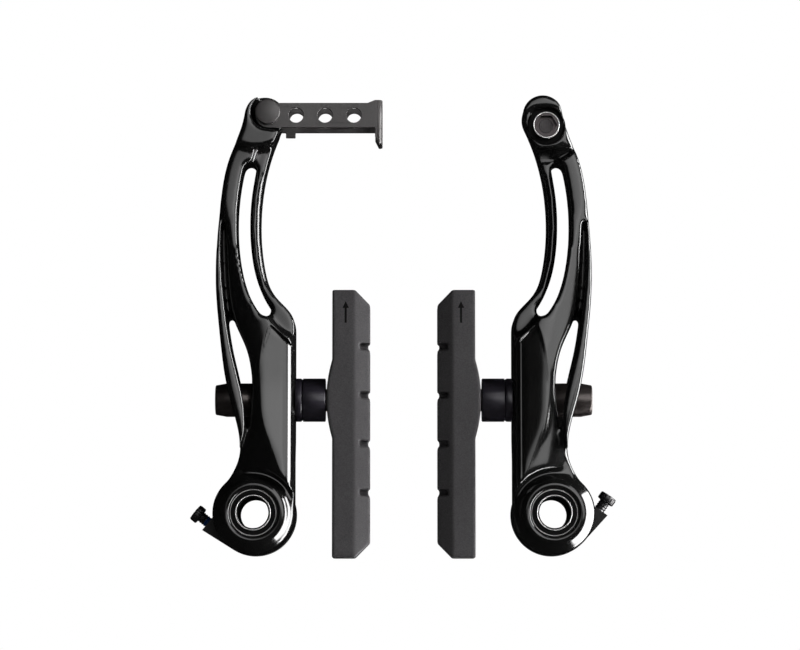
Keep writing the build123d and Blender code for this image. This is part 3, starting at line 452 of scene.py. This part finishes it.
# %% Forged arms
CAST_SIZE, SOFTEN, WASHER_PLAY = 0.36 * MM, 40, 0.25 * MM
for side_name, way in (("left", 1), ("right", -1)):
    node = side_name + "_arm"
    forging = bpy.data.objects.new(side_name + "_forging", nodes[node].data.copy())
    scene.collection.objects.link(forging)
    cast_again(forging, CAST_SIZE)
    if side_name == "right":
        bring_forward(forging, well_rise(forging))
    cast_again(forging, CAST_SIZE)
    sharp = read_points(forging.data, "co")
    normals = read_points(forging.data, "normal")
    opened = sharp - WASHER_PLAY * normals
    at_back = (normals[:, 1] > 0.3) & (sharp[:, 1] > -10 * MM)
    tumble(forging, SOFTEN)
    points = read_points(forging.data, "co")
    keep = washer_room(way * sharp[:, 0] + PIVOT_X, sharp[:, 2], -sharp[:, 1])
    keep = (keep * ~at_back)[:, None]
    points = keep * opened + (1 - keep) * points
    forging.data.vertices.foreach_set("co", points.ravel())
    place = (way * points[:, 0] + PIVOT_X, points[:, 2], -points[:, 1])
    shift = panel_lean(*place) + rail_ridge(*place)
    if side_name == "right":
        shift = shift + boss_cone(*place)
    bring_forward(forging, shift)
    forging.data.materials.clear()
    forging.data.materials.append(black_anodised)
    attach(forging, node)
    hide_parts(node)
    print(side_name, "forging faces:", len(forging.data.polygons))

# %% [markdown]
# Moulded pads. A rubber block leaves its mould with soft edges too, about half a millimetre round. The same
# casting gives them, with fewer rounds of smoothing, so the grooves keep their shape. A shallow arrow near
# the top of each block shows which way it goes on. It is a thin inlay that lies in the block's front face.

# %% Moulded pads
PAD_CAST, PAD_SOFTEN = 0.28 * MM, 10
ARROW_FOOT, ARROW_NECK, ARROW_TIP = 50.7 * MM, 54.7 * MM, 56.5 * MM
ARROW_HALF, SHAFT_HALF, ARROW_THICK = 0.85 * MM, 0.28 * MM, 0.3 * MM
for side_name, arrow_x in (("left", -15.5 * MM), ("right", 15.3 * MM)):
    node = side_name + "_pad"
    block = bpy.data.objects.new(side_name + "_block", nodes[node].data.copy())
    scene.collection.objects.link(block)
    cast_again(block, PAD_CAST)
    tumble(block, PAD_SOFTEN)
    block.data.materials.clear()
    block.data.materials.append(block_rubber)
    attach(block, node)
    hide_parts(node)
    face_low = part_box(node)[0]
    wide = np.array([-SHAFT_HALF, SHAFT_HALF, SHAFT_HALF, ARROW_HALF, 0, -ARROW_HALF, -SHAFT_HALF])
    tall = np.array([ARROW_FOOT, ARROW_FOOT, ARROW_NECK, ARROW_NECK, ARROW_TIP, ARROW_NECK, ARROW_NECK])
    count = len(wide)
    front = np.stack([arrow_x + wide, np.full(count, face_low.y - 0.02 * MM), tall], axis=-1)
    rear = front + np.array((0, ARROW_THICK, 0))
    mesh = bpy.data.meshes.new(side_name + "_arrow")
    around = [(k, k + count, (k + 1) % count + count, (k + 1) % count) for k in range(count)]
    faces = [tuple(range(count)), tuple(range(2 * count - 1, count - 1, -1)), *around]
    mesh.from_pydata(np.concatenate([front, rear]).tolist(), [], faces)
    mesh.materials.append(liner_black)
    arrow = bpy.data.objects.new(side_name + "_arrow", mesh)
    scene.collection.objects.link(arrow)
    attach(arrow, node)
    print(side_name, "block faces:", len(block.data.polygons), "arrow at", round(arrow_x / MM, 1), "mm")

# %% [markdown]
# Other edges. Turned and moulded pieces have smaller, crisper rounds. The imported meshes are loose
# triangles, so they are welded first, and then every edge that turns by more than thirty degrees gets a
# narrow bevel.

# %% Rounded edges on the small pieces
ROUNDS = {
    "spring_housing": 0.35,
    "cable_link": 0.15,
    "link_pin": 0.2,
    "anchor_bolt": 0.15,
    "clamp_washer": 0.3,
    "pad_nut": 0.25,
    "cup_washer": 0.25,
    "dome_washer": 0.15,
    "pivot_sleeve": 0.1,
    "pivot_liner": 0.15,
}
for name, thing in nodes.items():
    width = [size for key, size in ROUNDS.items() if name.endswith(key)]
    if not width:
        continue
    weld = thing.modifiers.new("weld", "WELD")
    weld.merge_threshold = 0.001 * MM
    round_off = thing.modifiers.new("round_off", "BEVEL")
    round_off.width = width[0] * MM
    round_off.segments = 2
    round_off.limit_method = "ANGLE"
    round_off.angle_limit = math.radians(30)
    round_off.use_clamp_overlap = True
    round_off.harden_normals = True
print("rounded:", sum(1 for o in nodes.values() if o.modifiers))

# %% [markdown]
# Turned pieces. A screw, a ring and a disc are all profiles carried round an axis. The helper takes the
# radius and the height of every point on a grid of rows and turns, so a thread or a knurl is only a wave
# added to the radius.


# %% A skin turned round an axis
def put_mesh(name, points, faces, finish):
    """A new piece from an array of points in metres and a list of faces, smooth, in one finish."""
    mesh = bpy.data.meshes.new(name)
    mesh.from_pydata(points.tolist(), [], faces)
    mesh.polygons.foreach_set("use_smooth", np.ones(len(mesh.polygons), dtype=bool))
    mesh.materials.append(finish)
    piece = bpy.data.objects.new(name, mesh)
    scene.collection.objects.link(piece)
    return piece


def quads(rows, turns):
    """Faces of a grid of points that is closed round the axis, row after row."""
    row, turn = np.meshgrid(np.arange(rows - 1), np.arange(turns), indexing="ij")
    ahead = (turn + 1) % turns
    here, above = row * turns, (row + 1) * turns
    corner = [here + turn, here + ahead, above + ahead, above + turn]
    return np.stack(corner, axis=-1).reshape(-1, 4).tolist()


def turned_skin(name, foot, axis, side, radius, height, finish):
    """Closed skin: foot + height * axis + radius * (cos * side + sin * other), with a point at either end."""
    axis, side, foot = np.array(axis), np.array(side), np.array(foot)
    other = np.cross(axis, side)
    rows, turns = radius.shape
    angle = np.linspace(0, 2 * np.pi, turns, endpoint=False)
    round_way = np.cos(angle)[:, None] * side + np.sin(angle)[:, None] * other
    skin = foot + height[..., None] * axis + radius[..., None] * round_way
    ends = np.stack([foot + height[0, 0] * axis, foot + height[-1, 0] * axis])
    points = np.concatenate([skin.reshape(-1, 3), ends])
    last = rows * turns
    step = np.arange(turns)
    ahead = (step + 1) % turns
    low_fan = np.stack([np.full(turns, last), ahead, step], axis=-1).tolist()
    rim = last - turns
    high_fan = np.stack([np.full(turns, last + 1), rim + step, rim + ahead], axis=-1).tolist()
    return put_mesh(name, points, quads(rows, turns) + low_fan + high_fan, finish)


print("helpers for turned pieces ready")

# %% [markdown]
# The tension screws. Each is a small black screw with a fine thread and a knurled round head with a crossed
# slot, and the left one still has a patch of blue locking paint near the housing. The solid screw is plain,
# so a dressed one takes its place. Its axis is the axis of the joint that moves it. It ends where the solid
# ends at the head, and its tip is a little shorter, so that it stays clear of the hole's bottom.

# %% Tension screws
PITCH, THREAD_DEPTH, TURNS = 0.7 * MM, 0.2 * MM, 56
HEAD_HEIGHT, SLOT_HALF, SLOT_DEPTH = 2.2 * MM, 0.32 * MM, 0.8 * MM
SHANK_ROWS, CROWN_ROWS, CROWN_RADIUS = 110, 14, 1.75 * MM
TIP_START, TIP_RADIUS, SHANK_START, SHANK_RADIUS = 0.2 * MM, 1.1 * MM, 0.5 * MM, 1.5 * MM
KNURLS, KNURL_DEPTH, PAINT_BELOW, PAINT_HALF = 14, 0.12 * MM, 2.3 * MM, 0.5 * MM
joints = {joint["name"]: joint for joint in frame["record"]["behaviour"]["joints"]}


def dressed_screw(side_name):
    """Screw skin: thread as a saw wave of height and angle, knurl as a cosine of angle, slot as two dips."""
    node = side_name + "_tension_screw"
    axis = np.array(joints[side_name + "_screw_travel"]["axis"])
    axis = axis / np.linalg.norm(axis)
    side = np.array((0.0, 1.0, 0.0))
    other = np.cross(axis, side)
    points = read_points(nodes[node].data, "co")
    along, across, beside = points @ axis, points @ side, points @ other
    mid_across = (across.min() + across.max()) / 2
    mid_beside = (beside.min() + beside.max()) / 2
    foot = along.min() * axis + mid_across * side + mid_beside * other
    length = along.max() - along.min()
    neck = length - HEAD_HEIGHT
    shank = np.linspace(SHANK_START, neck, SHANK_ROWS)
    top = np.linspace(CROWN_RADIUS, 0.1 * MM, CROWN_ROWS)
    head_radius = np.array([2.15, 2.35, 2.35, 2.2]) * MM
    rows_radius = np.concatenate([[TIP_RADIUS], np.full(SHANK_ROWS, SHANK_RADIUS), head_radius, top])
    head = neck + np.array([0.0, 0.15, 1.6, 2.0]) * MM
    crown = length - 0.25 * MM * (top / CROWN_RADIUS) ** 2
    rows_height = np.concatenate([[TIP_START], shank, head, crown])
    angle = np.linspace(0, 2 * np.pi, TURNS, endpoint=False)
    radius = np.repeat(rows_radius[:, None], TURNS, axis=1)
    height = np.repeat(rows_height[:, None], TURNS, axis=1)
    wave = np.abs(2 * ((height / PITCH - angle / (2 * np.pi)) % 1.0) - 1)
    row = np.arange(len(rows_radius))
    on_shank = (row > 0) & (row < SHANK_ROWS)
    radius = radius - THREAD_DEPTH * wave * on_shank[:, None]
    on_head = (rows_height > neck + 0.1 * MM) & (rows_radius > 2.0 * MM)
    radius = radius - KNURL_DEPTH * (0.5 + 0.5 * np.cos(KNURLS * angle)) * on_head[:, None]
    x, y = radius * np.cos(angle), radius * np.sin(angle)
    on_crown = row >= len(row) - CROWN_ROWS
    dip = (np.minimum(np.abs(x), np.abs(y)) < SLOT_HALF) & on_crown[:, None]
    height = height - SLOT_DEPTH * dip
    piece = turned_skin(side_name + "_dressed_screw", foot, axis, side, radius, height, screw_black)
    in_band = np.abs(height - neck + PAINT_BELOW) < PAINT_HALF
    paint = in_band & (np.cos(angle) < 0.4) & (side_name == "left")
    values = np.concatenate([paint.astype(float).ravel(), [0.0, 0.0]])
    piece.data.attributes.new("patch", "FLOAT", "POINT").data.foreach_set("value", values)
    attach(piece, node)
    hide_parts(node)
    return piece


for side_name in ("left", "right"):
    print(side_name, "screw faces:", len(dressed_screw(side_name).data.polygons))

# %% [markdown]
# Bare metal and painted highlights. A thin bright ring lies on the mouth of each arm's bore, on the end of
# each sleeve and on the rim of the cable bolt.
# Its metal is bare where a cutter has passed after the blackening, and its brightness also paints the
# highlight that each of these edges catches.
# Each line is a thin ring, half sunk in the piece that carries it.


# %% Bare rings that paint highlights
# Each ring is bare metal and also a painted highlight on the edge it lies on.
def bare_highlight_ring(name, centre, radius, thick, body):
    """Ring round the front-to-back axis: a small circle of half the thickness carried round a large one."""
    turns, bits = 96, 10
    angle = np.linspace(0, 2 * np.pi, turns, endpoint=False)[None, :]
    small = np.linspace(0, 2 * np.pi, bits, endpoint=False)[:, None]
    reach = radius + thick / 2 * np.cos(small) + 0 * angle
    deep = thick / 2 * np.sin(small) + 0 * angle
    points = np.stack([reach * np.cos(angle), deep, reach * np.sin(angle)], axis=-1)
    points = np.concatenate([points, points[:1]]) + np.array(centre)
    piece = put_mesh(name, points.reshape(-1, 3), quads(bits + 1, turns), bare_highlight_metal)
    weld = piece.modifiers.new("weld", "WELD")
    weld.merge_threshold = 0.001 * MM
    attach(piece, body)


bolt_low, bolt_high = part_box("anchor_bolt")
bolt_x, bolt_z = (bolt_low.x + bolt_high.x) / 2, (bolt_low.z + bolt_high.z) / 2
rim_centre = (bolt_x, bolt_low.y + 0.05 * MM, bolt_z)
# The ring on the bolt's rim paints the highlight of the bolt head's edge in bright metal.
bare_highlight_ring("bolt_rim", rim_centre, 3.38 * MM, 0.3 * MM, "right_arm")
for side_name in ("left", "right"):
    liner_low, liner_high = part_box(side_name + "_pivot_liner")
    middle = ((liner_low.x + liner_high.x) / 2, liner_low.y, (liner_low.z + liner_high.z) / 2)
    mouth = (liner_high.x - liner_low.x) / 2
    bare_highlight_ring(side_name + "_bore_line", middle, mouth, 0.24 * MM, side_name + "_arm")
    sleeve_low, sleeve_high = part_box(side_name + "_pivot_sleeve")
    end = (middle[0], sleeve_low.y, middle[2])
    wide = (sleeve_high.x - sleeve_low.x) / 2
    bare_highlight_ring(side_name + "_sleeve_line", end, wide - 0.2 * MM, 0.3 * MM, "boss_side")
    print(side_name, "lines at radius", round(mouth / MM, 2), "and", round(wide / MM, 2), "mm")

# %% [markdown]
# The pin's cap. The pin of the cable link ends in a flat round head that is wider than the solid's. It is
# one more turned skin, with a short chamfer at both ends.

# %% Cap of the link's pin
CAP_RADIUS, CAP_HEIGHT, CAP_TURNS = 3.35 * MM, 1.75 * MM, 72
pin_low, pin_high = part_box("link_pin")
cap_reach = np.append(CAP_RADIUS - np.array([0.1, 0, 0, 0.08, 0.3]) * MM, 0.1 * MM)
cap_lift = np.append([0, 0.1 * MM], CAP_HEIGHT - np.array([0.3, 0.08, 0, -0.03]) * MM)
cap_foot = ((pin_low.x + pin_high.x) / 2, pin_low.y + CAP_HEIGHT - 0.03 * MM, (pin_low.z + pin_high.z) / 2)
cap_grid = [np.repeat(column[:, None], CAP_TURNS, axis=1) for column in (cap_reach, cap_lift)]
cap = turned_skin("pin_cap", cap_foot, (0, -1, 0), (1, 0, 0), *cap_grid, satin_grey)
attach(cap, "left_arm")
print("pin cap at", [round(v, 4) for v in cap_foot])

# %% [markdown]
# The socket's floor. The bottom of the cable bolt's socket is a sawn disc, with upright marks that are a sine
# wave across it.

# %% Floor of the bolt's socket
SOCKET_DEPTH, DISC_RADIUS, DISC_ROWS, DISC_TURNS = 2.4 * MM, 1.9 * MM, 16, 48
MARK_PITCH, MARK_DEPTH = 0.55 * MM, 0.03 * MM
reach = np.repeat(np.linspace(DISC_RADIUS, 0.06 * MM, DISC_ROWS)[:, None], DISC_TURNS, axis=1)
angle = np.linspace(0, 2 * np.pi, DISC_TURNS, endpoint=False)
marks = MARK_DEPTH * np.sin(2 * np.pi * reach * np.cos(angle) / MARK_PITCH)
lift = 0.15 * MM + marks * (reach < 0.95 * DISC_RADIUS)
lift = np.concatenate([np.zeros((1, DISC_TURNS)), lift])
reach = np.concatenate([reach[:1], reach])
floor_centre = (bolt_x, bolt_low.y + SOCKET_DEPTH, bolt_z)
disc = turned_skin("socket_floor", floor_centre, (0, -1, 0), (1, 0, 0), reach, lift, sawn_steel)
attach(disc, "right_arm")
print("socket floor at", [round(v, 4) for v in floor_centre])
